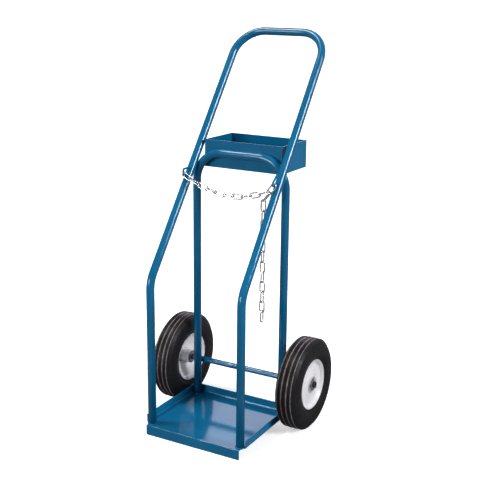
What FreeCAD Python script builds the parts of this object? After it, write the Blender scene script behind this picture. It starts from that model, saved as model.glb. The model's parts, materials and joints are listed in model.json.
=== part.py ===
"""Oxy acetylene torch cart: a two-wheeled tube cart with a deck for two gas
cylinders, a tool tray and a retaining chain.

Millimetres. X runs across the cart (the user's right when they face its front),
Y runs from the open front towards the handle, Z runs up. The origin is on the
floor under the middle of the cart.
"""
import FreeCAD, Part
import math
import os
import Sketcher

V = FreeCAD.Vector
Rotation = FreeCAD.Rotation
Placement = FreeCAD.Placement
X_AXIS, Y_AXIS, Z_AXIS = V(1, 0, 0), V(0, 1, 0), V(0, 0, 1)
SIDES = {"left": -1, "right": 1}

DIMENSIONS = {
    # tube frame
    "tube_dia": 22.2,
    "tube_wall": 1.6,
    "bend_radius": 80.0,
    "leg_spacing": 275.0,
    "upright_setback": 227.0,
    "deck_clearance": 25.4,
    "knee_height": 429.4,
    "slant_angle": 36.4,
    "slant_length": 781.0,
    "arch_height": 742.4,
    # sheet metal
    "sheet": 2.0,
    "deck_width": 310.0,
    "deck_overhang": 19.0,
    "deck_tail": 17.0,
    "deck_wall_height": 24.0,
    "front_lip_width": 288.0,
    "deck_fillet": 3.0,
    "tray_width": 238.0,
    "tray_depth": 144.0,
    "tray_height": 75.0,
    "tray_base_height": 699.4,
    "tray_sheet": 1.5,
    # axle and wheels
    "wheel_dia": 254.0,
    "tyre_width": 67.0,
    "track": 394.0,
    "axle_dia": 15.9,
    "axle_length": 463.0,
    "rim_sheet": 1.6,
    "lip_radius": 69.5,
    "seat_radius": 63.2,
    "hub_dia": 38.0,
    "hub_bore": 35.0,
    "hub_length": 54.0,
    "bearing_width": 12.7,
    "ball_dia": 3.7,
    "ball_circle": 25.0,
    "washer_dia": 27.5,
    "washer_thickness": 2.5,
    "pin_dia": 3.0,
    # chain
    "chain_wire": 4.0,
    "link_pitch": 27.65,
    "link_inner_width": 9.0,
    "link_play": 0.25,
    "bracket_play": 0.7,
    "eye_rod": 5.5,
    "bracket_height": 686.0,
    "eye_gap": 16.0,
    "eye_reach": 30.0,
    "eye_bend": 5.0,
    "eye_bearing": 24.5,
    "hook_reach": 37.5,
    "hook_bend": 5.0,
    "hook_bearing": 29.5,
}

doc = FreeCAD.newDocument("torch_cart")
sheet = doc.addObject("Spreadsheet::Sheet", "dims")
for row, (name, value) in enumerate(DIMENSIONS.items(), start=1):
    sheet.set(f"A{row}", name)
    sheet.set(f"B{row}", str(value))
    sheet.setAlias(f"B{row}", name)
doc.recompute()


def size(name):
    return float(getattr(sheet, name))


def combine(plus=0.0, **weights):
    """A sum of weighted sheet cells, as its value and as an expression."""
    value = plus + sum(size(cell) * weight for cell, weight in weights.items())
    terms = [f"dims.{cell} * ({weight:g})" for cell, weight in weights.items()]
    return value, " + ".join(terms + [f"({plus:g})"])


# ---------------------------------------------------------------- places
TUBE_R = size("tube_dia") / 2
SLANT = math.radians(size("slant_angle"))
SLANT_DIR = V(0, math.sin(SLANT), math.cos(SLANT))
HANDLE_REACH = size("slant_length") * math.sin(SLANT)
LEG_Y = (size("deck_overhang") - HANDLE_REACH - TUBE_R) / 2
LEG_X = size("leg_spacing") / 2
UPRIGHT_Y = LEG_Y + size("upright_setback")
DECK_Z = size("deck_clearance")
TOE_Z = DECK_Z + 0.1
FOOT_PLAY = 0.05
AXLE_R = size("axle_dia") / 2
AXLE_Y = UPRIGHT_Y + TUBE_R + AXLE_R
AXLE_Z = size("wheel_dia") / 2
HALF_TRACK = size("track") / 2
HUB_HALF = size("hub_length") / 2
BALLS_PER_BEARING = 12
WASHER_PLAY = 0.15
PIN_PLAY = 0.3
WASHER_X = HALF_TRACK + HUB_HALF + size("washer_thickness") / 2 + WASHER_PLAY
PIN_X = WASHER_X + (size("washer_thickness") + size("pin_dia")) / 2 + PIN_PLAY
KNEE_Z = size("knee_height")
BRACKET_Z = size("bracket_height")
RAIL_Y = LEG_Y + (BRACKET_Z - KNEE_Z) * math.tan(SLANT)

nodes = {}


def keep(node, shape_object):
    """Record a finished piece under the name that its file gets."""
    shape_object.Label = node
    nodes[node] = shape_object
    return shape_object


# ---------------------------------------------------------------- helpers
def bent_path(name, corners, radius):
    """A wire through corners, each inner corner rounded by an arc."""
    edges = []
    start = corners[0]
    for before, corner, after in zip(corners, corners[1:], corners[2:]):
        back = (before - corner).normalize()
        ahead = (after - corner).normalize()
        half_turn = (math.pi - back.getAngle(ahead)) / 2
        setback = radius * math.tan(half_turn)
        enter = corner + back * setback
        leave = corner + ahead * setback
        inward = (back + ahead).normalize()
        middle = corner + inward * (radius / math.cos(half_turn) - radius)
        edges.append(Part.LineSegment(start, enter).toShape())
        edges.append(Part.Arc(enter, middle, leave).toShape())
        start = leave
    edges.append(Part.LineSegment(start, corners[-1]).toShape())
    path = doc.addObject("Part::Feature", name)
    path.Shape = Part.Wire(edges)
    return path


def rod_along(name, path, radius_expression, start, direction):
    """A round solid swept along a path from its start point."""
    section = doc.addObject("Part::Circle", f"{name}_section")
    section.setExpression("Radius", radius_expression)
    section.Placement = Placement(start, Rotation(Z_AXIS, direction))
    rod = doc.addObject("Part::Sweep", name)
    rod.Sections = [section]
    rod.Spine = (path, [f"Edge{i + 1}" for i in range(len(path.Shape.Edges))])
    rod.Solid = True
    rod.Frenet = False
    return rod


def cut(name, base, tool):
    result = doc.addObject("Part::Cut", name)
    result.Base = base
    result.Tool = tool
    return result


def fuse(name, shapes):
    result = doc.addObject("Part::MultiFuse", name)
    result.Shapes = shapes
    return result


def group(name, shapes):
    result = doc.addObject("Part::Compound", name)
    result.Links = shapes
    return result


def cylinder_x(name, radius_expression, length_expression, middle):
    """A cylinder along X, centred on a point."""
    shape = doc.addObject("Part::Cylinder", name)
    shape.setExpression("Radius", radius_expression)
    shape.setExpression("Height", length_expression)
    doc.recompute()
    start = middle - X_AXIS * (float(shape.Height) / 2)
    shape.Placement = Placement(start, Rotation(Z_AXIS, X_AXIS))
    return shape


def ring_x(name, outer, inner, length, middle):
    """A ring along X with the given radius and length expressions."""
    body = cylinder_x(f"{name}_outside", outer, length, middle)
    bore = cylinder_x(f"{name}_bore", inner, f"({length}) + 2", middle)
    return cut(name, body, bore)


def new_body(node):
    return doc.addObject("PartDesign::Body", node)


def outline(body, name, role, corners, offset=0.0):
    """A closed polygon sketch on an origin plane, each corner bound to cells."""
    plane = [f for f in body.Origin.OriginFeatures if f.Role == role][0]
    sketch = body.newObject("Sketcher::SketchObject", name)
    sketch.AttachmentSupport = (plane, [""])
    sketch.MapMode = "FlatFace"
    sketch.AttachmentOffset = Placement(V(0, 0, offset), Rotation())
    points = [V(x[0], y[0], 0) for x, y in corners]
    count = len(points)
    for i, point in enumerate(points):
        sketch.addGeometry(Part.LineSegment(point, points[(i + 1) % count]), False)
    for i in range(count):
        sketch.addConstraint(Sketcher.Constraint("Coincident", i, 2, (i + 1) % count, 1))
    for i, (x, y) in enumerate(corners):
        for kind, (value, expression) in (("DistanceX", x), ("DistanceY", y)):
            index = sketch.addConstraint(Sketcher.Constraint(kind, -1, 1, i, 1, value))
            sketch.setExpression(f"Constraints[{index}]", expression)
    return sketch


def rectangle(body, name, role, x_low, x_high, y_low, y_high, offset=0.0):
    corners = [(x_low, y_low), (x_high, y_low), (x_high, y_high), (x_low, y_high)]
    return outline(body, name, role, corners, offset)


def pad(body, sketch, length_expression, reverse=False):
    feature = body.newObject("PartDesign::Pad", f"{sketch.Name}_pad")
    feature.Profile = sketch
    feature.setExpression("Length", length_expression)
    feature.Reversed = reverse
    sketch.Visibility = False
    return feature


def pocket(body, sketch, length_expression, reverse):
    """A pocket, checked to have taken material away."""
    doc.recompute()
    before = body.Shape.Volume
    feature = body.newObject("PartDesign::Pocket", f"{sketch.Name}_pocket")
    feature.Profile = sketch
    feature.setExpression("Length", length_expression)
    feature.Reversed = reverse
    doc.recompute()
    assert body.Shape.Volume < before - 1, f"{sketch.Name} cut nothing"
    return feature


def revolve_x(body, sketch):
    feature = body.newObject("PartDesign::Revolution", f"{sketch.Name}_turned")
    feature.Profile = sketch
    feature.ReferenceAxis = (sketch, ["H_Axis"])
    feature.Angle = 360
    return feature


def fillet(body, base, name, radius_expression, chosen):
    """Round the edges of a feature whose middle point passes a test."""
    doc.recompute()
    edges = []
    for number, edge in enumerate(base.Shape.Edges, start=1):
        middle = edge.valueAt((edge.FirstParameter + edge.LastParameter) / 2)
        if chosen(edge, middle):
            edges.append(f"Edge{number}")
    feature = body.newObject("PartDesign::Fillet", name)
    feature.Base = (base, edges)
    feature.setExpression("Radius", radius_expression)
    return feature


def runs_along(edge, axis):
    """Whether a straight edge is parallel to an axis."""
    if edge.Curve.TypeId != "Part::GeomLine":
        return False
    return abs(edge.tangentAt(edge.FirstParameter).dot(axis)) > 0.999


# ---------------------------------------------------------------- tube frame
def bent_tube(node, corners):
    """A hollow tube bent round its corners on one bending die."""
    path = bent_path(f"{node}_path", corners, size("bend_radius"))
    direction = (corners[1] - corners[0]).normalize()
    outside = rod_along(f"{node}_outside", path, "dims.tube_dia / 2", corners[0], direction)
    bore = rod_along(
        f"{node}_bore", path, "dims.tube_dia / 2 - dims.tube_wall", corners[0], direction)
    return keep(node, cut(node, outside, bore)), outside


def front_frame_tube():
    """Both legs, both slanted rails and the handle loop in one bent tube."""
    handle = SLANT_DIR * size("slant_length")
    knee = V(LEG_X, LEG_Y, KNEE_Z)
    grip = knee + handle
    right_half = [V(LEG_X, LEG_Y, TOE_Z), knee, grip]
    left_half = [V(-p.x, p.y, p.z) for p in right_half]
    return bent_tube("front_frame_tube", left_half + right_half[::-1])


def rear_frame_tube():
    """The two rear uprights joined by the arch that carries the tray."""
    corners = [
        V(-LEG_X, UPRIGHT_Y, TOE_Z),
        V(-LEG_X, UPRIGHT_Y, size("arch_height")),
        V(LEG_X, UPRIGHT_Y, size("arch_height")),
        V(LEG_X, UPRIGHT_Y, TOE_Z),
    ]
    return bent_tube("rear_frame_tube", corners)


# ---------------------------------------------------------------- sheet metal
def base_pan():
    """The deck: low walls at the sides and back, a lip turned down in front,
    and a hole for each tube's foot."""
    body = new_body("base_pan")
    depth = dict(upright_setback=1, deck_tail=1)
    half, back = combine(deck_width=0.5), combine(**depth)
    minus_half, zero = combine(deck_width=-0.5), combine()
    block = pad(body, rectangle(body, "deck_block", "XY_Plane", minus_half, half, zero, back),
                "dims.deck_wall_height")
    doc.recompute()
    fillet(
        body, block, "deck_outer_bends", "dims.deck_fillet + dims.sheet",
        lambda edge, middle: abs(middle.z) < 0.01 and middle.y > 0.01)
    inside = rectangle(
        body, "deck_inside", "XY_Plane",
        combine(deck_width=-0.5, sheet=1), combine(deck_width=0.5, sheet=-1),
        combine(-1.0), combine(sheet=-1, **depth), offset=size("deck_wall_height"))
    hollow = pocket(body, inside, "dims.deck_wall_height - dims.sheet", reverse=False)
    fillet(
        body, hollow, "deck_inner_bends", "dims.deck_fillet",
        lambda edge, middle: abs(middle.z - size("sheet")) < 0.01 and middle.y > 0.01
        and abs(middle.x) < size("deck_width") / 2 - size("sheet") + 0.01)
    apron = rectangle(
        body, "deck_apron", "XY_Plane",
        combine(front_lip_width=-0.5), combine(front_lip_width=0.5),
        combine(deck_overhang=-1), combine(1.0))
    pad(body, apron, "dims.sheet")
    lip = rectangle(
        body, "front_lip", "XY_Plane",
        combine(front_lip_width=-0.5), combine(front_lip_width=0.5),
        combine(deck_overhang=-1), combine(deck_overhang=-1, sheet=1))
    lip_pad = pad(body, lip, "dims.deck_clearance", reverse=True)
    front_y = -size("deck_overhang")
    fillet(
        body, lip_pad, "front_lip_bend", "dims.sheet * 0.9",
        lambda edge, middle: runs_along(edge, X_AXIS) and abs(middle.y - front_y) < 0.01
        and abs(middle.z - size("sheet")) < 0.01)
    body.Placement = Placement(V(0, LEG_Y, DECK_Z), Rotation())
    holes = []
    for x in (-LEG_X, LEG_X):
        for y in (LEG_Y, UPRIGHT_Y):
            hole = doc.addObject("Part::Cylinder", f"foot_hole_{len(holes)}")
            hole.setExpression("Radius", f"dims.tube_dia / 2 + {FOOT_PLAY}")
            hole.setExpression("Height", "dims.sheet * 3")
            hole.Placement = Placement(V(x, y, DECK_Z - size("sheet")), Rotation())
            holes.append(hole)
    return keep("base_pan", cut("deck_pierced", body, fuse("foot_holes", holes)))


def tool_tray():
    """The open box behind the arch, welded to its top bar."""
    body = new_body("tool_tray")
    half, minus_half = combine(tray_width=0.5), combine(tray_width=-0.5)
    block = pad(
        body,
        rectangle(body, "tray_block", "XY_Plane", minus_half, half,
                  combine(), combine(tray_depth=1)),
        "dims.tray_height")
    inside = rectangle(
        body, "tray_inside", "XY_Plane",
        combine(tray_width=-0.5, tray_sheet=1), combine(tray_width=0.5, tray_sheet=-1),
        combine(tray_sheet=1), combine(tray_depth=1, tray_sheet=-1),
        offset=size("tray_height"))
    hollow = pocket(body, inside, "dims.tray_height - dims.tray_sheet", reverse=False)
    fillet(
        body, hollow, "tray_floor_bends", "dims.tray_sheet",
        lambda edge, middle: runs_along(edge, X_AXIS) and middle.z < 0.01)
    body.Placement = Placement(
        V(0, UPRIGHT_Y + TUBE_R, size("tray_base_height")), Rotation())
    return keep("tool_tray", body)


# ---------------------------------------------------------------- axle
def axle_rod():
    """The axle across the backs of the uprights, drilled for its pins."""
    rod = cylinder_x(
        "axle_bar", "dims.axle_dia / 2", "dims.axle_length", V(0, AXLE_Y, AXLE_Z))
    holes = []
    for side, sign in SIDES.items():
        hole = doc.addObject("Part::Cylinder", f"{side}_pin_hole")
        hole.setExpression("Radius", "dims.pin_dia / 2 + 0.15")
        hole.setExpression("Height", "dims.axle_dia * 2")
        hole.Placement = Placement(
            V(sign * PIN_X, AXLE_Y, AXLE_Z - size("axle_dia")), Rotation())
        holes.append(hole)
    return keep("axle_rod", cut("axle_drilled", rod, fuse("pin_holes", holes)))


def cotter_pin(side, sign):
    """A split pin through the axle end, its tails bent round the rod."""
    node = f"{side}_cotter_pin"
    leg_end = AXLE_R + 3.0
    corners = [
        V(0, 0, leg_end),
        V(0, 0, -leg_end),
        V(0, leg_end, -leg_end - 1.0),
    ]
    path = bent_path(f"{node}_path", corners, size("pin_dia"))
    leg = rod_along(f"{node}_leg", path, "dims.pin_dia / 2", corners[0], V(0, 0, -1))
    eye = doc.addObject("Part::Torus", f"{node}_eye")
    eye.setExpression("Radius1", "dims.pin_dia * 0.9")
    eye.setExpression("Radius2", "dims.pin_dia / 3")
    eye.Placement = Placement(V(0, 0, leg_end + size("pin_dia") * 0.8), Rotation(Z_AXIS, X_AXIS))
    pin = keep(node, fuse(node, [leg, eye]))
    pin.Placement = Placement(V(sign * PIN_X, AXLE_Y, AXLE_Z), Rotation())
    return pin


def washer(node, x):
    """A flat washer round the axle."""
    return keep(node, ring_x(
        node, "dims.washer_dia / 2", "dims.axle_dia / 2 + 0.05",
        "dims.washer_thickness", V(x, AXLE_Y, AXLE_Z)))


# ---------------------------------------------------------------- wheels
def wheel_placement(sign):
    """Wheel parts are drawn with X outwards from the wheel's middle."""
    turn = Rotation(Z_AXIS, 0 if sign > 0 else 180)
    return Placement(V(sign * HALF_TRACK, AXLE_Y, AXLE_Z), turn)


def turned_part(node, sign, corners):
    """A body turned about the axle from a closed outline of (along, radius)."""
    body = new_body(node)
    sketch = outline(body, f"{node}_outline", "XZ_Plane", corners)
    revolve_x(body, sketch)
    body.Placement = wheel_placement(sign)
    return keep(node, body)


def tyre(side, sign):
    """A ribbed semi-pneumatic tyre with its sealed air space."""
    width = dict(tyre_width=0.5)
    corners = []
    half_outline = [
        (-13.1, combine(lip_radius=1, plus=-4.7)),
        (-10.3, combine(lip_radius=1, plus=-1.1)),
        (-8.5, combine(lip_radius=1, plus=1.5)),
        (-6.5, combine(lip_radius=1, plus=1.7)),
        (-4.6, combine(lip_radius=1, plus=4.6)),
        (-1.2, combine(lip_radius=1, plus=14.0)),
        (0.0, combine(wheel_dia=0.5, plus=-32.0)),
        (-0.8, combine(wheel_dia=0.5, plus=-22.0)),
        (-3.2, combine(wheel_dia=0.5, plus=-13.0)),
        (-7.5, combine(wheel_dia=0.5, plus=-6.5)),
        (-13.0, combine(wheel_dia=0.5, plus=-2.6)),
    ]
    for inset, radius in half_outline:
        corners.append((combine(inset, **width), radius))
    tread_top = combine(wheel_dia=0.5)
    groove_floor = combine(wheel_dia=0.5, plus=-3.0)
    for middle in (12.0, 0.0, -12.0):
        corners.append((combine(middle + 2.2), tread_top))
        corners.append((combine(middle + 1.4), groove_floor))
        corners.append((combine(middle - 1.4), groove_floor))
        corners.append((combine(middle - 2.2), tread_top))
    for inset, radius in reversed(half_outline):
        corners.append((combine(-inset, tyre_width=-0.5), radius))
    node = f"{side}_tyre"
    body = new_body(node)
    revolve_x(body, outline(body, f"{node}_outline", "XZ_Plane", corners))
    air = doc.addObject("Part::Torus", f"{node}_air_space")
    air.setExpression("Radius1", "dims.wheel_dia / 2 - 33")
    air.Radius2 = 13.0
    air.Placement = Placement(V(0, 0, 0), Rotation(Z_AXIS, X_AXIS))
    hollow = keep(node, cut(f"{node}_hollow", body, air))
    hollow.Placement = wheel_placement(sign)
    return hollow


def rim_half(node, sign, facing, profile):
    """A pressed rim half: a sheet that follows a profile of (along, radius)."""
    offset = size("rim_sheet")
    front = [(combine(facing * along), radius) for along, radius in profile]
    back = [(combine(facing * (along - lean)), combine(radius[0] - offset * rise))
            for (along, radius), (lean, rise) in zip(profile, sheet_offsets(profile, offset))]
    return turned_part(node, sign, front + back[::-1])


def sheet_offsets(profile, thickness):
    """How far each point of the back face lies behind the front face."""
    points = [(along, radius[0]) for along, radius in profile]
    offsets = []
    for i, point in enumerate(points):
        before = points[max(i - 1, 0)]
        after = points[min(i + 1, len(points) - 1)]
        run, rise = after[0] - before[0], after[1] - before[1]
        length = math.hypot(run, rise)
        offsets.append((thickness * rise / length, -run / length))
    return offsets


def rim_outer_disc(side, sign):
    """The shallow outer face, dished a little below the tyre's wall."""
    profile = [
        (26.0, combine(hub_dia=0.5, rim_sheet=1, plus=0.05)),
        (22.8, combine(hub_dia=0.5, rim_sheet=1, plus=0.3)),
        (20.5, combine(hub_dia=0.5, plus=6.0)),
        (17.5, combine(seat_radius=1, plus=-6.0)),
        (18.5, combine(seat_radius=1, plus=-2.5)),
        (22.0, combine(seat_radius=1)),
        (25.0, combine(lip_radius=1, plus=-2.5)),
        (26.7, combine(lip_radius=1)),
    ]
    return rim_half(f"{side}_rim_outer_disc", sign, 1, profile)


def rim_inner_disc(side, sign):
    """The deep cone of the inner face, seen from the deck."""
    profile = [
        (-12.0, combine(hub_dia=0.5, plus=0.05)),
        (-6.0, combine(hub_dia=0.5, plus=1.6)),
        (-4.0, combine(hub_dia=0.5, plus=5.0)),
        (17.0, combine(seat_radius=1, plus=-3.5)),
        (22.0, combine(seat_radius=1)),
        (25.0, combine(lip_radius=1, plus=-2.5)),
        (26.7, combine(lip_radius=1)),
    ]
    return rim_half(f"{side}_rim_inner_disc", sign, -1, profile)


def hub_tube(side, sign):
    node = f"{side}_hub_tube"
    middle = V(sign * HALF_TRACK, AXLE_Y, AXLE_Z)
    return keep(node, ring_x(
        node, "dims.hub_dia / 2", "dims.hub_bore / 2", "dims.hub_length", middle))


def bearings(side, sign):
    """Outer rings, inner rings and balls of the two bearings in a hub."""
    outer_rings, inner_rings, balls = [], [], []
    for end, facing in (("outboard", 1), ("inboard", -1)):
        inset = HUB_HALF - size("bearing_width") / 2
        middle = V(sign * (HALF_TRACK + facing * inset), AXLE_Y, AXLE_Z)
        name = f"{side}_{end}"
        outer_rings.append(ring_x(
            f"{name}_outer_ring", "dims.hub_bore / 2",
            "dims.ball_circle / 2 + dims.ball_dia / 2 + 0.05", "dims.bearing_width", middle))
        inner_rings.append(ring_x(
            f"{name}_inner_ring", "dims.ball_circle / 2 - dims.ball_dia / 2 - 0.05",
            "dims.axle_dia / 2 + 0.05", "dims.bearing_width", middle))
        for i in range(BALLS_PER_BEARING):
            angle = 2 * math.pi * i / BALLS_PER_BEARING
            ball = doc.addObject("Part::Sphere", f"{name}_ball_{i}")
            ball.setExpression("Radius", "dims.ball_dia / 2")
            reach = size("ball_circle") / 2
            ball.Placement = Placement(
                middle + V(0, math.cos(angle), math.sin(angle)) * reach, Rotation())
            balls.append(ball)
    keep(f"{side}_bearing_outer_rings", group(f"{side}_outer_rings", outer_rings))
    keep(f"{side}_bearing_inner_rings", group(f"{side}_inner_rings", inner_rings))
    keep(f"{side}_bearing_balls", group(f"{side}_balls", balls))


# ---------------------------------------------------------------- chain
STEP = size("link_pitch") - size("link_play")
LINK_RADIUS = (size("link_inner_width") + size("chain_wire")) / 2
WIRE_R = size("chain_wire") / 2
ROD_R = size("eye_rod") / 2
PLAY = size("link_play") / 2
SPAN_LINKS = 10
TAIL_LINKS = 13
HOOK_LINK_SLOPE = math.radians(234)
TAIL_LEAN = math.radians(233)
SHARED_CROWN = V(1.0, 0, 2.15)


def along(slope):
    """A direction in the plane across the cart at an angle from X."""
    return V(math.cos(slope), 0, math.sin(slope))


def chain_link(node, near, direction, face):
    """One welded oval link. near is where the link before it bears on it,
    direction runs along it, and face is square to the plane it lies in."""
    ends, sides = [], []
    straight = size("link_pitch") - size("link_inner_width")
    for i, sign in enumerate((1, -1)):
        bow = doc.addObject("Part::Torus", f"{node}_bow_{i}")
        bow.setExpression("Radius1", "(dims.link_inner_width + dims.chain_wire) / 2")
        bow.setExpression("Radius2", "dims.chain_wire / 2")
        bow.Angle3 = 180
        turn = Rotation(Z_AXIS, 0 if sign > 0 else 180)
        bow.Placement = Placement(V(0, sign * straight / 2, 0), turn)
        ends.append(bow)
        side = doc.addObject("Part::Cylinder", f"{node}_side_{i}")
        side.setExpression("Radius", "dims.chain_wire / 2")
        side.setExpression("Height", "dims.link_pitch - dims.link_inner_width")
        side.Placement = Placement(
            V(sign * LINK_RADIUS, -straight / 2, 0), Rotation(Z_AXIS, Y_AXIS))
        sides.append(side)
    link = keep(node, fuse(node, ends + sides))
    across = direction.cross(face).normalize()
    square = across.cross(direction).normalize()
    turn = Rotation(across, direction, square, "ZXY")
    link.Placement = Placement(near + direction * (STEP / 2), turn)


def alternate(i, direction):
    """Every second link is turned a quarter about the chain."""
    return Y_AXIS if i % 2 == 0 else direction.cross(Y_AXIS)


def hanging_points(start, end, count):
    """Joint points of the span, evenly spaced along a catenary."""
    across, up = end.x - start.x, end.z - start.z
    target = math.sqrt((count * STEP) ** 2 - up ** 2)
    low, high = 20.0, 5000.0
    while high - low > 1e-6:
        scale = (low + high) / 2
        if 2 * scale * math.sinh(across / 2 / scale) > target:
            low = scale
        else:
            high = scale
    lean = math.asinh(up / (2 * scale * math.sinh(across / 2 / scale)))
    bottom_x = (start.x + end.x) / 2 - scale * lean
    bottom_z = start.z - scale * math.cosh((start.x - bottom_x) / scale)
    first = scale * math.sinh((start.x - bottom_x) / scale)
    points = []
    for i in range(count + 1):
        x = bottom_x + scale * math.asinh((first + i * STEP) / scale)
        z = bottom_z + scale * math.cosh((x - bottom_x) / scale)
        y = start.y + (end.y - start.y) * i / count
        points.append(V(x, y, z))
    return points


def bracket(node, sign, corners, radius, rail):
    """A round rod bent in the upright plane of one rail and welded to its
    front. Corners are (forward of the rail's axis, above the lower arm)."""
    places = [V(sign * LEG_X, RAIL_Y - ahead, BRACKET_Z + up) for ahead, up in corners]
    path = bent_path(f"{node}_path", places, radius)
    direction = (places[1] - places[0]).normalize()
    rod = rod_along(f"{node}_rod", path, "dims.eye_rod / 2", places[0], direction)
    return keep(node, cut(node, rod, rail))


def chain_brackets(rail):
    """A closed eye on the left rail and an open hook on the right rail."""
    gap, reach = size("eye_gap"), size("eye_reach")
    far_end = (-gap * math.tan(SLANT), gap)
    bracket("chain_eye", -1, [(0, 0), (reach, 0), (reach, gap), far_end],
            size("eye_bend"), rail)
    reach = size("hook_reach")
    bracket("chain_hook", 1, [(0, 0), (reach, 0), (reach - 1, 8), (11, 27)],
            size("hook_bend"), rail)


def chain():
    """The span from the eye, the link on the hook and the hanging tail."""
    hook_rod = V(LEG_X, RAIL_Y - size("hook_bearing"), BRACKET_Z)
    down_left = along(HOOK_LINK_SLOPE)
    near = hook_rod - down_left * (ROD_R + size("bracket_play"))
    chain_link("hook_link", near, down_left, Y_AXIS)

    crown_middle = near + down_left * (STEP + PLAY + WIRE_R - LINK_RADIUS)
    beside = along(HOOK_LINK_SLOPE - math.pi / 2) * SHARED_CROWN.z
    in_crown = crown_middle + down_left * SHARED_CROWN.x
    eye_rod = V(-LEG_X, RAIL_Y - size("eye_bearing"), BRACKET_Z)
    first = last = X_AXIS
    for _ in range(8):
        start = eye_rod - first * (ROD_R + size("bracket_play"))
        end = in_crown + beside - last * (WIRE_R + PLAY)
        points = hanging_points(start, end, SPAN_LINKS)
        first = (points[1] - points[0]).normalize()
        last = (points[-1] - points[-2]).normalize()
    for i in range(SPAN_LINKS):
        direction = (points[i + 1] - points[i]).normalize()
        chain_link(f"span_link_{i + 1}", points[i], direction, alternate(i, direction))

    lean = along(TAIL_LEAN)
    down = V(0, 0, -1)
    top = in_crown - beside + lean * (WIRE_R + PLAY)
    chain_link("tail_link_1", top, lean, alternate(1, lean))
    elbow = top + lean * (STEP + PLAY + WIRE_R)
    below = elbow - down * (WIRE_R + PLAY)
    for i in range(1, TAIL_LINKS):
        chain_link(f"tail_link_{i + 1}", below + down * (STEP * (i - 1)), down,
                   alternate(i + 1, down))
    lower_pivot = below + down * (STEP + PLAY + WIRE_R)
    return {"hook": hook_rod, "eye": eye_rod, "upper tail pivot": elbow,
            "lower tail pivot": lower_pivot}


def export():
    """Check every object and write each piece to its own file."""
    doc.recompute()
    bad = [o.Name for o in doc.Objects if {"Invalid", "Error"} & set(o.State)]
    assert not bad, f"failed objects: {bad}"
    os.makedirs("parts", exist_ok=True)
    for node, piece in nodes.items():
        shape = piece.Shape
        assert not shape.isNull() and shape.isValid() and shape.Volume > 0, node
        shape.exportStep(f"parts/{node}.step")


_, front_outside = front_frame_tube()
rear_frame_tube()
base_pan()
tool_tray()
axle_rod()
for side_name, side_sign in SIDES.items():
    tyre(side_name, side_sign)
    rim_outer_disc(side_name, side_sign)
    rim_inner_disc(side_name, side_sign)
    hub_tube(side_name, side_sign)
    bearings(side_name, side_sign)
    cotter_pin(side_name, side_sign)
    washer(f"{side_name}_outer_washer", side_sign * WASHER_X)
    washer(f"{side_name}_inner_washer", side_sign * (2 * HALF_TRACK - WASHER_X))
chain_brackets(front_outside)
pivots = chain()
export()
print(f"{len(nodes)} pieces")
for name, place in pivots.items():
    print(f"{name}: {place.x:.3f} {place.y:.3f} {place.z:.3f}")
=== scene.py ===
import json
import math
import bmesh
import bpy
from mathutils import Matrix, Vector


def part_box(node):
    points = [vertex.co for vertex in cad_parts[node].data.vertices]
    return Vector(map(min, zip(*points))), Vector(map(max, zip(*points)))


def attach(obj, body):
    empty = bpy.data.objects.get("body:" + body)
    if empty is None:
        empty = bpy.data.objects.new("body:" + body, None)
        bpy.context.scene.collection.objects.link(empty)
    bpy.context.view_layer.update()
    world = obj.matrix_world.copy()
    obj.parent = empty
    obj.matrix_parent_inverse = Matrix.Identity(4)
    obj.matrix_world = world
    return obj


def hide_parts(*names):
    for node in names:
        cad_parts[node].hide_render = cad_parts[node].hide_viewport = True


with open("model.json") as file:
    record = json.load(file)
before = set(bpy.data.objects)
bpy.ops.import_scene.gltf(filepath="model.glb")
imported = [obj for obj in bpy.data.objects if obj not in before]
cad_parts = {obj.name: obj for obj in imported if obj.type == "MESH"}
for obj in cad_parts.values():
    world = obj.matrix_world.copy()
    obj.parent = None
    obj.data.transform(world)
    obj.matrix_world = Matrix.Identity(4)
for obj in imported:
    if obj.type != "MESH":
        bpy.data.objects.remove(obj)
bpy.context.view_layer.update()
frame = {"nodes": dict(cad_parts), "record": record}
SLOT_OF = {p["node"]: p["material_slot"] for p in frame["record"]["subparts"]}
BODIES = frame["record"]["behaviour"]["bodies"]
SIDES = {"left": -1, "right": 1}
X, Y, Z = Vector((1, 0, 0)), Vector((0, 1, 0)), Vector((0, 0, 1))
MM = 0.001


# ---------------------------------------------------------------- places
def middle(node):
    low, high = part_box(node)
    return (low + high) / 2


HUBS = {side: middle(f"{side}_hub_tube") for side in SIDES}
front_low, front_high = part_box("front_frame_tube")
rear_low, rear_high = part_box("rear_frame_tube")
axle_low, axle_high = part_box("axle_rod")
tyre_low, tyre_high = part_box("right_tyre")
TOE_Z = front_low.z
DECK_TOP_Z = TOE_Z + 1.9 * MM
LEG_X = 137.5 * MM
SLANT = math.radians(36.4)  # of the rails, from upright
BEND_R = 80 * MM
TUBE_R = front_high.x - LEG_X
LEG_Y = front_low.y + TUBE_R
UPRIGHT_Y = rear_low.y + TUBE_R
ARCH_Z = rear_high.z - TUBE_R
AXLE = middle("axle_rod")
AXLE_R = (axle_high.z - axle_low.z) / 2
WHEEL_R = (tyre_high.z - tyre_low.z) / 2
TYRE_HALF = (tyre_high.x - tyre_low.x) / 2


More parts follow.
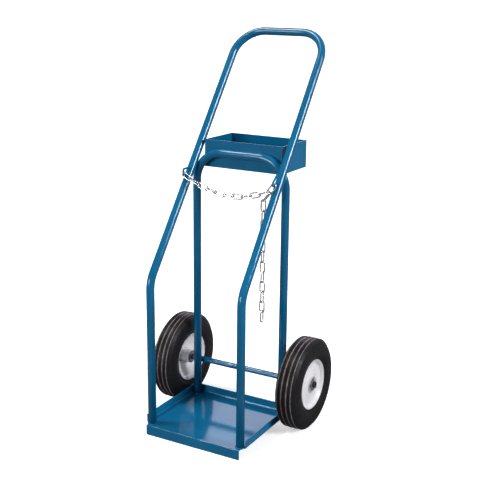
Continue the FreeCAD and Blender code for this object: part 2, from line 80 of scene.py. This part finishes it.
# ---------------------------------------------------------------- materials
class Nodes:
    """A short way to write a node tree for one Principled material."""

    def __init__(self, name):
        self.material = bpy.data.materials.new(name)
        self.material.use_nodes = True
        self.tree = self.material.node_tree
        self.shader = self.tree.nodes["Principled BSDF"]
        self.place = self.add("ShaderNodeTexCoord").outputs["Object"]

    def add(self, kind, **settings):
        node = self.tree.nodes.new(kind)
        for key, value in settings.items():
            setattr(node, key, value)
        return node

    def link(self, source, socket):
        self.tree.links.new(source, socket)

    def set(self, **values):
        for key, value in values.items():
            self.shader.inputs[key.replace("_", " ")].default_value = value

    def shifted(self, location=(0, 0, 0), scale=(1, 1, 1)):
        node = self.add("ShaderNodeMapping")
        node.inputs["Location"].default_value = location
        node.inputs["Scale"].default_value = scale
        self.link(self.place, node.inputs["Vector"])
        return node.outputs["Vector"]

    def noise(self, scale, detail=3.0, rough=0.5, vector=None, distortion=0.0):
        node = self.add("ShaderNodeTexNoise")
        node.inputs["Scale"].default_value = scale
        node.inputs["Detail"].default_value = detail
        node.inputs["Roughness"].default_value = rough
        node.inputs["Distortion"].default_value = distortion
        self.link(vector or self.place, node.inputs["Vector"])
        return node.outputs["Fac"]

    def cells(self, scale, feature="F1", vector=None):
        node = self.add("ShaderNodeTexVoronoi", feature=feature)
        node.inputs["Scale"].default_value = scale
        self.link(vector or self.place, node.inputs["Vector"])
        return node.outputs["Distance"]

    def ramp(self, source, *stops):
        node = self.add("ShaderNodeValToRGB")
        elements = node.color_ramp.elements
        while len(elements) < len(stops):
            elements.new(0.5)
        for element, (position, color) in zip(elements, stops):
            element.position = position
            element.color = color if len(color) == 4 else (*color, 1)
        self.link(source, node.inputs["Fac"])
        return node.outputs["Color"]

    def span(self, source, low, high, from_low=0.0, from_high=1.0):
        node = self.add("ShaderNodeMapRange")
        for key, value in (("From Min", from_low), ("From Max", from_high),
                           ("To Min", low), ("To Max", high)):
            node.inputs[key].default_value = value
        self.link(source, node.inputs["Value"])
        return node.outputs["Result"]

    def math(self, operation, a, b=None):
        node = self.add("ShaderNodeMath", operation=operation)
        for socket, value in zip(node.inputs, (a, b)):
            if value is None:
                continue
            if isinstance(value, (int, float)):
                socket.default_value = value
            else:
                self.link(value, socket)
        return node.outputs["Value"]

    def mix(self, factor, a, b, blend="MIX"):
        node = self.add("ShaderNodeMix", data_type="RGBA", blend_type=blend)
        sockets = [s for s in node.inputs if s.enabled]
        for socket, value in zip(sockets, (factor, a, b)):
            if isinstance(value, (int, float)):
                socket.default_value = value
            elif isinstance(value, tuple):
                socket.default_value = (*value, 1)
            else:
                self.link(value, socket)
        return [s for s in node.outputs if s.enabled][0]

    def bump(self, height, distance, strength=1.0, normal=None):
        node = self.add("ShaderNodeBump")
        node.inputs["Distance"].default_value = distance
        node.inputs["Strength"].default_value = strength
        self.link(height, node.inputs["Height"])
        if normal is not None:
            self.link(normal, node.inputs["Normal"])
        return node.outputs["Normal"]

    def rounded(self, radius):
        node = self.add("ShaderNodeBevel", samples=6)
        node.inputs["Radius"].default_value = radius
        return node.outputs["Normal"]

    def worn_edge(self, radius):
        """1 on sharp outer edges, 0 on flat faces."""
        geometry = self.add("ShaderNodeNewGeometry")
        dot = self.add("ShaderNodeVectorMath", operation="DOT_PRODUCT")
        self.link(self.rounded(radius), dot.inputs[0])
        self.link(geometry.outputs["Normal"], dot.inputs[1])
        return self.span(dot.outputs["Value"], 1.0, 0.0, 0.80, 0.97)

    def radius_about(self, centre):
        """Distance from a wheel's axis, in metres."""
        split = self.add("ShaderNodeSeparateXYZ")
        self.link(self.shifted((-centre.x, -centre.y, -centre.z)), split.inputs["Vector"])
        y, z = split.outputs["Y"], split.outputs["Z"]
        squares = self.math("ADD", self.math("MULTIPLY", y, y), self.math("MULTIPLY", z, z))
        return self.math("SQRT", squares)


def enamel(name, scuffs=False, edges=False, steel_beyond=None):
    """Glossy blue stoving enamel over steel, with small chips.

    scuffs adds rubbing marks, edges thins the paint on sharp edges, and
    steel_beyond leaves bare steel beyond that distance from the middle.
    """
    n = Nodes(name)
    broad = n.noise(7, 4, 0.6)
    tone = n.ramp(broad, (0.30, (0.0030, 0.122, 0.258)), (0.72, (0.0060, 0.156, 0.318)))
    specks = n.ramp(n.noise(1400, 2), (0.35, (0.90, 0.90, 0.92)), (0.68, (1.07, 1.06, 1.05)))
    color = n.mix(1.0, tone, specks, "MULTIPLY")
    chips = n.span(n.noise(95, 6, 0.75), 0, 1, 0.700, 0.712)
    color = n.mix(n.math("MULTIPLY", chips, 0.55), color, (0.020, 0.035, 0.050))
    if edges:
        patchy = n.span(n.noise(160, 5, 0.7), 0, 1, 0.45, 0.62)
        edge = n.math("MULTIPLY", n.worn_edge(1.2 * MM), patchy)
        color = n.mix(n.math("MULTIPLY", edge, 0.45), color, (0.045, 0.15, 0.24))
    roughness = n.span(n.noise(34, 5, 0.65), 0.07, 0.13, 0.3, 0.75)
    height = n.noise(420, 2, 0.5)
    if scuffs:
        streaks = n.noise(55, 6, 0.75, n.shifted(scale=(1.0, 9.0, 1.0)), 0.6)
        rubbed = n.span(streaks, 0, 1, 0.60, 0.70)
        rings = n.cells(9.0, "DISTANCE_TO_EDGE")
        rubbed = n.math("MAXIMUM", rubbed, n.math("MULTIPLY", n.span(rings, 1, 0, 0.0, 0.012), 0.4))
        roughness = n.math("ADD", roughness, n.math("MULTIPLY", rubbed, 0.16))
        color = n.mix(n.math("MULTIPLY", rubbed, 0.16), color, (0.05, 0.16, 0.26))
    if steel_beyond is not None:
        split = n.add("ShaderNodeSeparateXYZ")
        n.link(n.place, split.inputs["Vector"])
        reach = n.math("ABSOLUTE", split.outputs["X"])
        bare = n.span(reach, 0, 1, steel_beyond, steel_beyond + 2 * MM)
        greasy = n.ramp(n.noise(210, 5, 0.7), (0.3, (0.030, 0.027, 0.028)),
                        (0.7, (0.11, 0.10, 0.105)))
        color = n.mix(bare, color, greasy)
        n.link(n.math("MULTIPLY", bare, 0.85), n.shader.inputs["Metallic"])
        roughness = n.math("ADD", roughness, n.math("MULTIPLY", bare, 0.12))
    n.link(color, n.shader.inputs["Base Color"])
    n.link(roughness, n.shader.inputs["Roughness"])
    base = n.rounded(0.9 * MM) if edges else None
    n.link(n.bump(height, 0.00003, 0.35, base), n.shader.inputs["Normal"])
    n.set(IOR=1.45, Specular_IOR_Level=0.42)
    return n.material


RIB_WEAR_AND_HIGHLIGHT = 1.9 * MM  # below the crown, where the rib tops start to be lighter: rubbed wear, and a painted highlight of the lit rib crowns
MOULD_LINE = 1.3 * MM  # from one mould line to the next


def rubber(name, centre):
    """Black tyre rubber with lighter rib tops and fine mould lines; the rib tops are partly rubbed
    wear and partly a painted highlight.
    """
    n = Nodes(name)
    reach = n.radius_about(centre)
    dust = n.noise(38, 6, 0.7)
    color = n.ramp(dust, (0.30, (0.0065, 0.006, 0.0068)), (0.62, (0.0125, 0.0105, 0.0115)),
                   (0.86, (0.030, 0.024, 0.025)))
    # rib tops lighter in colour: partly rubbed wear, partly a painted highlight of the lit crowns
    rib = n.span(reach, 0, 1, WHEEL_R - RIB_WEAR_AND_HIGHLIGHT, WHEEL_R - RIB_WEAR_AND_HIGHLIGHT + 1.0 * MM)
    worn_and_highlit = n.math("MULTIPLY", rib, n.span(n.noise(95, 4, 0.7), 0.35, 1, 0.36, 0.66))
    color = n.mix(n.math("MULTIPLY", worn_and_highlit, 0.70), color, (0.52, 0.41, 0.40))
    roughness = n.span(n.noise(90, 5, 0.6), 0.34, 0.58, 0.3, 0.7)
    lines = n.math("SINE", n.math("MULTIPLY", reach, 2 * math.pi / MOULD_LINE))
    height = n.math("ADD", n.math("MULTIPLY", lines, 0.35), n.noise(900, 3, 0.6))
    n.link(color, n.shader.inputs["Base Color"])
    n.link(roughness, n.shader.inputs["Roughness"])
    n.link(n.bump(height, 0.00010, 0.7), n.shader.inputs["Normal"])
    n.set(IOR=1.45, Specular_IOR_Level=0.22)
    return n.material


HUB_SHADE_AND_GRIME = (19 * MM, 30 * MM)  # out from the axis, darkest to clean: painted shade round the hub, with grime
RIM_SHADE_AND_GRIME = (62.5 * MM, 70 * MM)  # out from the axis, clean to darkest: painted shade in the rim seam, with grime


def wheel_paint(name, centre):
    """Warm white powder coat, darker round the hub and in the rim seam, partly painted shade in
    these recesses and partly grime.
    """
    n = Nodes(name)
    reach = n.radius_about(centre)
    broad = n.noise(24, 4, 0.6)
    color = n.ramp(broad, (0.3, (0.80, 0.755, 0.775)), (0.7, (0.88, 0.845, 0.86)))
    near_hub = n.span(reach, 1, 0, *HUB_SHADE_AND_GRIME)
    near_rim = n.span(reach, 0, 1, *RIM_SHADE_AND_GRIME)
    # darkening near the hub and in the rim seam: painted shade in the recesses, made patchy like
    # grime
    shade_and_grime = n.math("MULTIPLY", n.math("MAXIMUM", near_hub, near_rim),
                   n.span(n.noise(120, 6, 0.75), 0, 1, 0.35, 0.70))
    color = n.mix(n.math("MULTIPLY", shade_and_grime, 0.45), color, (0.20, 0.165, 0.165))
    spots = n.span(n.noise(300, 4, 0.8), 0, 1, 0.66, 0.74)
    color = n.mix(n.math("MULTIPLY", spots, 0.30), color, (0.36, 0.31, 0.31))
    roughness = n.span(n.noise(60, 4, 0.6), 0.22, 0.38, 0.3, 0.7)
    n.link(color, n.shader.inputs["Base Color"])
    n.link(roughness, n.shader.inputs["Roughness"])
    n.link(n.bump(n.noise(650, 3, 0.55), 0.00010, 0.5), n.shader.inputs["Normal"])
    n.set(IOR=1.5, Coat_Weight=0.25, Coat_Roughness=0.12)
    return n.material


def plated(name, dark, light, rough_low, rough_high):
    """Plated or ground steel with a faintly mottled finish."""
    n = Nodes(name)
    mottle = n.noise(130, 5, 0.65)
    color = n.ramp(mottle, (0.32, dark), (0.70, light))
    bloom = n.span(n.noise(45, 4, 0.7), 0, 1, 0.62, 0.80)
    color = n.mix(n.math("MULTIPLY", bloom, 0.30), color, tuple(0.55 * c for c in dark))
    roughness = n.span(n.noise(260, 4, 0.6), rough_low, rough_high, 0.3, 0.7)
    n.link(color, n.shader.inputs["Base Color"])
    n.link(roughness, n.shader.inputs["Roughness"])
    n.link(n.bump(n.noise(1500, 3, 0.6), 0.00006, 0.6), n.shader.inputs["Normal"])
    n.set(Metallic=1.0)
    return n.material


BARE_STEEL_X = 161 * MM  # the axle is unpainted from here to its ends
ENAMEL = enamel("blue_enamel")
DECK_ENAMEL = enamel("blue_enamel_deck", scuffs=True, edges=True)
AXLE_ENAMEL = enamel("blue_enamel_axle", steel_beyond=BARE_STEEL_X)
ZINC = plated("zinc_plate", (0.50, 0.49, 0.52), (0.70, 0.69, 0.72), 0.22, 0.40)
CHAIN = plated("chain_zinc", (0.74, 0.72, 0.74), (0.93, 0.92, 0.93), 0.14, 0.30)
BEARING = plated("bearing_steel", (0.20, 0.19, 0.20), (0.40, 0.39, 0.41), 0.25, 0.45)
RUBBER = {side: rubber(f"{side}_tyre_rubber", HUBS[side]) for side in SIDES}
PAINT = {side: wheel_paint(f"{side}_wheel_paint", HUBS[side]) for side in SIDES}


def material_for(slot, side="right"):
    return {"blue_enamel": ENAMEL, "zinc_plate": ZINC, "chain_zinc": CHAIN,
            "bearing_steel": BEARING, "tyre": RUBBER[side],
            "wheel_paint": PAINT[side]}[slot]


def dress(obj, material):
    if not obj.material_slots:
        obj.data.materials.append(material)
    for place in obj.material_slots:
        place.material = material


for node, obj in frame["nodes"].items():
    side = "left" if node.startswith("left_") else "right"
    dress(obj, material_for(SLOT_OF[node], side))
for node in ("base_pan", "tool_tray"):
    dress(frame["nodes"][node], DECK_ENAMEL)
dress(frame["nodes"]["axle_rod"], AXLE_ENAMEL)


# ---------------------------------------------------------------- mesh tools
def finish_mesh(name, bm, material, body, replaced=()):
    """Turns a bmesh into a smooth piece that rides on a body."""
    mesh = bpy.data.meshes.new(name)
    bmesh.ops.recalc_face_normals(bm, faces=bm.faces)
    bm.to_mesh(mesh)
    bm.free()
    for face in mesh.polygons:
        face.use_smooth = True
    obj = bpy.data.objects.new(name, mesh)
    bpy.context.scene.collection.objects.link(obj)
    obj.data.materials.append(material)
    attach(obj, body)
    if replaced:
        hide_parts(*replaced)
    return obj


def skin_rings(bm, rings, closed_along):
    """Faces between neighbouring rings of vertices."""
    count = len(rings)
    for i in range(count if closed_along else count - 1):
        a, b = rings[i], rings[(i + 1) % count]
        around = len(a)
        for j in range(around):
            k = (j + 1) % around
            bm.faces.new((a[j], a[k], b[k], b[j]))


def soften(points, rounds, closed):
    """Cuts the corners of an outline again and again, which rounds them."""
    for _ in range(rounds):
        count = len(points)
        cut = [] if closed else [points[0]]
        for i in range(count if closed else count - 1):
            a, b = Vector(points[i]), Vector(points[(i + 1) % count])
            cut += [a.lerp(b, 0.25), a.lerp(b, 0.75)]
        if not closed:
            cut.append(points[-1])
        points = [tuple(p) for p in cut]
    return points


def lathe(name, outline, centre, facing, segments, material, body, replaced):
    """Turns an outline of (along, radius) about an axis along X."""
    bm = bmesh.new()
    rings = []
    for i in range(segments):
        angle = 2 * math.pi * i / segments
        y, z = math.cos(angle), math.sin(angle)
        rings.append([bm.verts.new((centre.x + facing * along, centre.y + radius * y,
                                    centre.z + radius * z)) for along, radius in outline])
    skin_rings(bm, rings, True)
    return finish_mesh(name, bm, material, body, replaced)


def sweep(name, line, radii, material, body, around=16, closed=False, replaced=()):
    """A round section carried along a line, its radius given at each point."""
    bm = bmesh.new()
    count = len(line)
    tangents = []
    for i in range(count):
        before = line[i - 1] if closed or i else line[0]
        after = line[(i + 1) % count] if closed or i < count - 1 else line[-1]
        tangents.append((after - before).normalized())
    side = tangents[0].orthogonal().normalized()
    rings = []
    for point, tangent, radius in zip(line, tangents, radii):
        side = (side - tangent * side.dot(tangent)).normalized()
        up = tangent.cross(side)
        rings.append([bm.verts.new(point + (side * math.cos(a) + up * math.sin(a)) * radius)
                      for a in (2 * math.pi * j / around for j in range(around))])
    skin_rings(bm, rings, closed)
    if not closed:
        bm.faces.new(rings[0])
        bm.faces.new(rings[-1])
    return finish_mesh(name, bm, material, body, replaced)


def bent_line(corners, radius, per_bend):
    """Points along straight runs joined by round bends."""
    line = [corners[0]]
    for before, corner, after in zip(corners, corners[1:], corners[2:]):
        back, ahead = (before - corner).normalized(), (after - corner).normalized()
        half_turn = (math.pi - back.angle(ahead)) / 2
        inward = (back + ahead).normalized()
        centre = corner + inward * (radius / math.cos(half_turn))
        start = corner + back * (radius * math.tan(half_turn)) - centre
        end = corner + ahead * (radius * math.tan(half_turn)) - centre
        start, end = start.normalized(), end.normalized()
        for i in range(per_bend + 1):
            line.append(centre + start.slerp(end, i / per_bend).normalized() * radius)
    return line + [corners[-1]]


RIPPLE = 2.8 * MM  # from one ripple of a weld bead to the next


def weld(name, line, size, closed=False):
    """A painted weld bead on the frame, with the ripples of a hand weld."""
    steps = []
    total = 0.0
    for i, point in enumerate(line):
        if i:
            total += (point - line[i - 1]).length
        steps.append(total)
    radii = []
    for i, s in enumerate(steps):
        ripple = 0.84 + 0.16 * math.sin(2 * math.pi * s / RIPPLE)
        wander = 1 + 0.10 * math.sin(i * 0.37 + 1.3) * math.cos(i * 0.11)
        taper = 1.0 if closed else min(1, (min(i, len(line) - 1 - i) + 0.6) / 3)
        radii.append(size * ripple * wander * taper)
    return sweep(name, line, radii, ENAMEL, "frame", 10, closed)


def circle(centre, radius, across, up, count):
    return [centre + (across * math.cos(a) + up * math.sin(a)) * radius
            for a in (2 * math.pi * i / count for i in range(count))]


# ---------------------------------------------------------------- wheels
RIBS = (20.6, 7.4, -7.4, -20.6)  # across the tread, millimetres


def tyre_outline():
    """The tyre's section: ribbed crown, rounded shoulders, rim bead."""
    shoulder = [  # (in from the tyre's face, in from the crown), millimetres
        (13.6, 62.2), (10.6, 58.8), (8.5, 56.1), (6.4, 56.0), (5.2, 54.4), (4.7, 53.0),
        (2.9, 48.0), (2.3, 47.0), (1.0, 43.4), (0.1, 36.0), (0.0, 32.0), (0.25, 26.0),
        (0.9, 22.0), (1.5, 18.6), (2.7, 15.0), (3.5, 12.4), (5.4, 8.8), (7.7, 6.3),
        (8.6, 5.3), (9.6, 4.4)]
    half = TYRE_HALF / MM
    crown = WHEEL_R / MM
    right = [(half - a, crown - b) for a, b in shoulder]
    tread = []
    for rib in RIBS:
        lean = 0.7 if abs(rib) > 10 else 0.0
        for along, depth in ((2.2, 1.9), (1.4, 1.6), (1.0, 0.7), (0.7, 0.05), (-0.7, 0.05),
                             (-1.0, 0.7), (-1.4, 1.6), (-2.2, 1.9)):
            tread.append((rib + along, crown - depth - lean))
        if rib > -20:
            valley = rib - (7.4 if abs(rib) < 10 else 6.6)
            for along, depth in ((1.5, 2.0), (0.7, 3.0), (-0.7, 3.0), (-1.5, 2.0)):
                tread.append((valley + along, crown - depth))
    left = [(-a, r) for a, r in reversed(right)]
    return [(a * MM, r * MM) for a, r in right + tread + left]


SHEET = 1.6  # thickness of the pressed discs, millimetres


def pressed(profile):
    """Both faces of a pressed sheet, from its front profile in millimetres."""
    front = [Vector(p) for p in soften(profile, 3, False)]
    back = []
    for i, point in enumerate(front):
        run = (front[min(i + 1, len(front) - 1)] - front[max(i - 1, 0)]).normalized()
        back.append(point - Vector((-run.y, run.x)) * SHEET)
    return [(p.x * MM, p.y * MM) for p in front + back[::-1]]


# (along the axle from the wheel's middle, radius), millimetres
OUTER_DISC = [(26.0, 20.65), (22.8, 20.9), (20.9, 24.4), (18.6, 42.0), (17.5, 57.2),
              (18.5, 60.7), (22.0, 63.2), (25.0, 67.0), (26.7, 69.5)]
INNER_DISC = [(-12.0, 19.05), (-6.6, 20.4), (-4.0, 24.0), (6.5, 42.0), (17.0, 59.7),
              (22.0, 63.2), (25.0, 67.0), (26.7, 69.5)]
TYRE_FACETS, DISC_FACETS = 180, 144
for side, sign in SIDES.items():
    hub, body = HUBS[side], f"{side}_wheel"
    lathe(f"{side}_tyre_skin", soften(tyre_outline(), 2, True), hub, sign, TYRE_FACETS,
          RUBBER[side], body, [f"{side}_tyre"])
    lathe(f"{side}_outer_dish", pressed(OUTER_DISC), hub, sign, DISC_FACETS,
          PAINT[side], body, [f"{side}_rim_outer_disc"])
    lathe(f"{side}_inner_dish", pressed(INNER_DISC), hub, -sign, DISC_FACETS,
          PAINT[side], body, [f"{side}_rim_inner_disc"])


# ---------------------------------------------------------------- tubes
TUBE_FACETS = 56


def mirrored(points):
    return [Vector((-p.x, p.y, p.z)) for p in points]


def tube(name, corners, replaced):
    line = bent_line(corners, BEND_R, 28)
    sweep(name, line, [TUBE_R] * len(line), ENAMEL, "frame", TUBE_FACETS,
          replaced=[replaced])


grip = Vector((LEG_X, front_high.y - TUBE_R, front_high.z - TUBE_R))
knee = Vector((LEG_X, LEG_Y, grip.z - (grip.y - LEG_Y) / math.tan(SLANT)))
half_front = [Vector((LEG_X, LEG_Y, TOE_Z)), knee, grip]
tube("front_tube_skin", mirrored(half_front) + half_front[::-1], "front_frame_tube")
half_rear = [Vector((LEG_X, UPRIGHT_Y, TOE_Z)), Vector((LEG_X, UPRIGHT_Y, ARCH_Z))]
tube("rear_tube_skin", mirrored(half_rear) + half_rear[::-1], "rear_frame_tube")


# ---------------------------------------------------------------- welds
for side, sign in SIDES.items():
    for name, y in (("leg", LEG_Y), ("upright", UPRIGHT_Y)):
        foot = Vector((sign * LEG_X, y, DECK_TOP_Z + 0.4 * MM))
        weld(f"{name}_weld_{side}", circle(foot, TUBE_R + 0.4 * MM, X, Y, 96), 2.0 * MM,
             closed=True)

UP = {"upper": 1, "lower": -1}
for side, sign in SIDES.items():
    for name, up in UP.items():
        seat = Vector((sign * LEG_X, UPRIGHT_Y + TUBE_R + 0.6 * MM,
                       AXLE.z + up * (AXLE_R - 2.4 * MM)))
        weld(f"axle_weld_{name}_{side}",
             [seat + X * i * 0.42 * MM + Y * 2.2 * MM * (1 - math.cos(i / 12))
              for i in range(-16, 17)], 1.7 * MM)
for number, x in enumerate((-42, 0, 42)):
    for name, up in UP.items():
        seat = Vector((x * MM, UPRIGHT_Y + TUBE_R - 2.3 * MM, ARCH_Z + up * 6.6 * MM))
        weld(f"tray_weld_{name}_{number}", [seat + X * i * 0.6 * MM for i in range(-20, 21)],
             2.0 * MM)


def rail_point(z):
    """A point on the slanted rails' axis, at the middle of the cart."""
    return Vector((0, knee.y + (z - knee.z) * math.tan(SLANT), z))


def bracket_weld(name, x, z, toward):
    """A bead round a rod that runs into the front of a slanted rail."""
    axis_point = rail_point(z) + X * x
    along = Vector((0, math.sin(SLANT), math.cos(SLANT)))
    ring = []
    for offset in circle(Vector((0, 0, 0)), 3.6 * MM, X, Z, 48):
        relative = offset - along * offset.dot(along)
        step = 0.0
        while step < 30 * MM:  # out from the rail's axis until clear of its surface
            point = relative + toward * step
            flat = point - along * point.dot(along)
            if flat.length >= TUBE_R + 0.5 * MM:
                break
            step += 0.2 * MM
        ring.append(axis_point + offset + toward * step)
    weld(name, ring, 1.15 * MM, closed=True)


eye_low, eye_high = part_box("chain_eye")
hook_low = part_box("chain_hook")[0]
ROD_R = (eye_high.x - eye_low.x) / 2
bracket_weld("eye_weld_lower", -LEG_X, eye_low.z + ROD_R, -Y)
bracket_weld("eye_weld_upper", -LEG_X, eye_high.z - ROD_R, -Y)
bracket_weld("hook_weld", LEG_X, hook_low.z + ROD_R, -Y)


# ---------------------------------------------------------------- chain seams
WIRE_R = 2.0 * MM
# (along the wire, radius), millimetres
SEAM = [(-1.9, 1.6), (-1.5, 2.08), (-0.9, 2.2), (-0.3, 2.24),
        (0.3, 2.24), (0.9, 2.2), (1.5, 2.08), (1.9, 1.6)]


def link_seam(node):
    """The butt weld on one side of a chain link."""
    points = [v.co.copy() for v in frame["nodes"][node].data.vertices]
    low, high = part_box(node)
    centre = (low + high) / 2
    away = max(points, key=lambda p: (p - centre).length) - centre
    long_axis = away.normalized()
    flat = [(p - centre) - long_axis * (p - centre).dot(long_axis) for p in points]
    across = max(flat, key=lambda p: p.length)
    place = centre + across.normalized() * (across.length - WIRE_R)
    line = [place + long_axis * s * MM for s, _ in SEAM]
    radii = [r * MM for _, r in SEAM]
    body = next(b for b, names in BODIES.items() if node in names)
    sweep(f"{node}_seam", line, radii, CHAIN, body, 14)


for node in sorted(frame["nodes"]):
    if "_link" in node:
        link_seam(node)


# ---------------------------------------------------------------- studio
FLOOR_RADIUS = 60.0
FLOOR_GLOW = 0.55  # of the floor itself, where it is seen directly
SKY_SEEN, SKY_FELT = 1.1, 0.14  # the sky's strength to look at, and as a light


def pale_floor():
    """A white sweep: bright to look at, dimmer in reflections and bounce."""
    n = Nodes("studio_floor")
    seen = n.add("ShaderNodeLightPath").outputs["Is Camera Ray"]
    paper = n.ramp(n.noise(2.2, 3), (0.3, (0.93, 0.93, 0.935)), (0.7, (0.96, 0.96, 0.965)))
    n.link(n.mix(seen, (0.20, 0.20, 0.21), paper), n.shader.inputs["Base Color"])
    n.link(n.math("MULTIPLY", seen, FLOOR_GLOW), n.shader.inputs["Emission Strength"])
    n.link(n.span(n.noise(40, 3), 0.75, 0.85), n.shader.inputs["Roughness"])
    n.set(Specular_IOR_Level=0.1, Emission_Color=(1, 1, 1, 1))
    bm = bmesh.new()
    bmesh.ops.create_circle(bm, cap_ends=True, segments=96, radius=FLOOR_RADIUS)
    mesh = bpy.data.meshes.new("studio_floor")
    bm.to_mesh(mesh)
    bm.free()
    floor = bpy.data.objects.new("studio_floor", mesh)
    bpy.context.scene.collection.objects.link(floor)
    mesh.materials.append(n.material)
    floor.location.z = -0.5 * MM


def sky():
    """A white surround, much dimmer as a light than to look at."""
    world = bpy.data.worlds.new("studio")
    world.use_nodes = True
    bpy.context.scene.world = world
    tree = world.node_tree
    background = tree.nodes["Background"]
    path = tree.nodes.new("ShaderNodeLightPath")
    strength = tree.nodes.new("ShaderNodeMapRange")
    strength.inputs["To Min"].default_value = SKY_FELT
    strength.inputs["To Max"].default_value = SKY_SEEN
    tree.links.new(path.outputs["Is Camera Ray"], strength.inputs["Value"])
    tree.links.new(strength.outputs["Result"], background.inputs["Strength"])
    background.inputs["Color"].default_value = (0.97, 0.98, 1.0, 1)


def soft_sun(name, towards, strength, spread, color=(1, 1, 1)):
    """A far softbox: light arrives from the direction towards it."""
    lamp = bpy.data.lights.new(name, "SUN")
    lamp.energy = strength
    lamp.angle = math.radians(spread)
    lamp.color = color
    obj = bpy.data.objects.new(name, lamp)
    obj.rotation_euler = Vector(towards).to_track_quat("Z", "Y").to_euler()
    bpy.context.scene.collection.objects.link(obj)


def panel(name, place, target, width, height, power, color):
    """A rectangular softbox, hidden from direct view."""
    lamp = bpy.data.lights.new(name, "AREA")
    lamp.shape = "RECTANGLE"
    lamp.size, lamp.size_y = width, height
    lamp.energy = power
    lamp.color = color
    obj = bpy.data.objects.new(name, lamp)
    obj.location = place
    direction = Vector(target) - Vector(place)
    obj.rotation_euler = direction.to_track_quat("-Z", "Y").to_euler()
    obj.visible_camera = False
    bpy.context.scene.collection.objects.link(obj)


# with this transform a plain white needs no more than a radiance of 1
bpy.context.scene.view_settings.view_transform = "Standard"
pale_floor()
sky()
soft_sun("right_box", (0.89, 0.03, 0.45), 2.7, 16, (0.94, 0.98, 1.0))
soft_sun("overhead_box", (-0.45, -0.20, 0.87), 1.6, 14)
soft_sun("front_left_box", (-0.34, -0.90, 0.22), 1.5, 20)
panel("back_panel", (-0.10, 2.0, 1.25), (0.0, 0.0, 0.3), 2.45, 0.9, 19, (0.82, 0.82, 1.0))


# ---------------------------------------------------------------- camera
VIEW_ANGLES = (28.054, 14.49, 0.989)  # azimuth, elevation and roll, degrees
VIEW_PLACE = (1.20908, -2.09079, 1.16209)
VIEW_SHIFT = (-0.0417, -0.0400)


def camera():
    azimuth, elevation, roll = (math.radians(a) for a in VIEW_ANGLES)
    forward = Vector((-math.sin(azimuth) * math.cos(elevation),
                      math.cos(azimuth) * math.cos(elevation), -math.sin(elevation)))
    right = Vector((math.cos(azimuth), math.sin(azimuth), 0))
    up = right.cross(forward)
    turned_right = right * math.cos(roll) + up * math.sin(roll)
    turned_up = up * math.cos(roll) - right * math.sin(roll)
    lens = bpy.data.cameras.new("camera")
    lens.lens, lens.sensor_width = 66.0, 36.0
    lens.shift_x, lens.shift_y = VIEW_SHIFT
    lens.clip_end = 200
    obj = bpy.data.objects.new("camera", lens)
    basis = Matrix((turned_right, turned_up, -forward)).transposed().to_4x4()
    obj.matrix_world = Matrix.Translation(VIEW_PLACE) @ basis
    bpy.context.scene.collection.objects.link(obj)
    bpy.context.scene.camera = obj


camera()
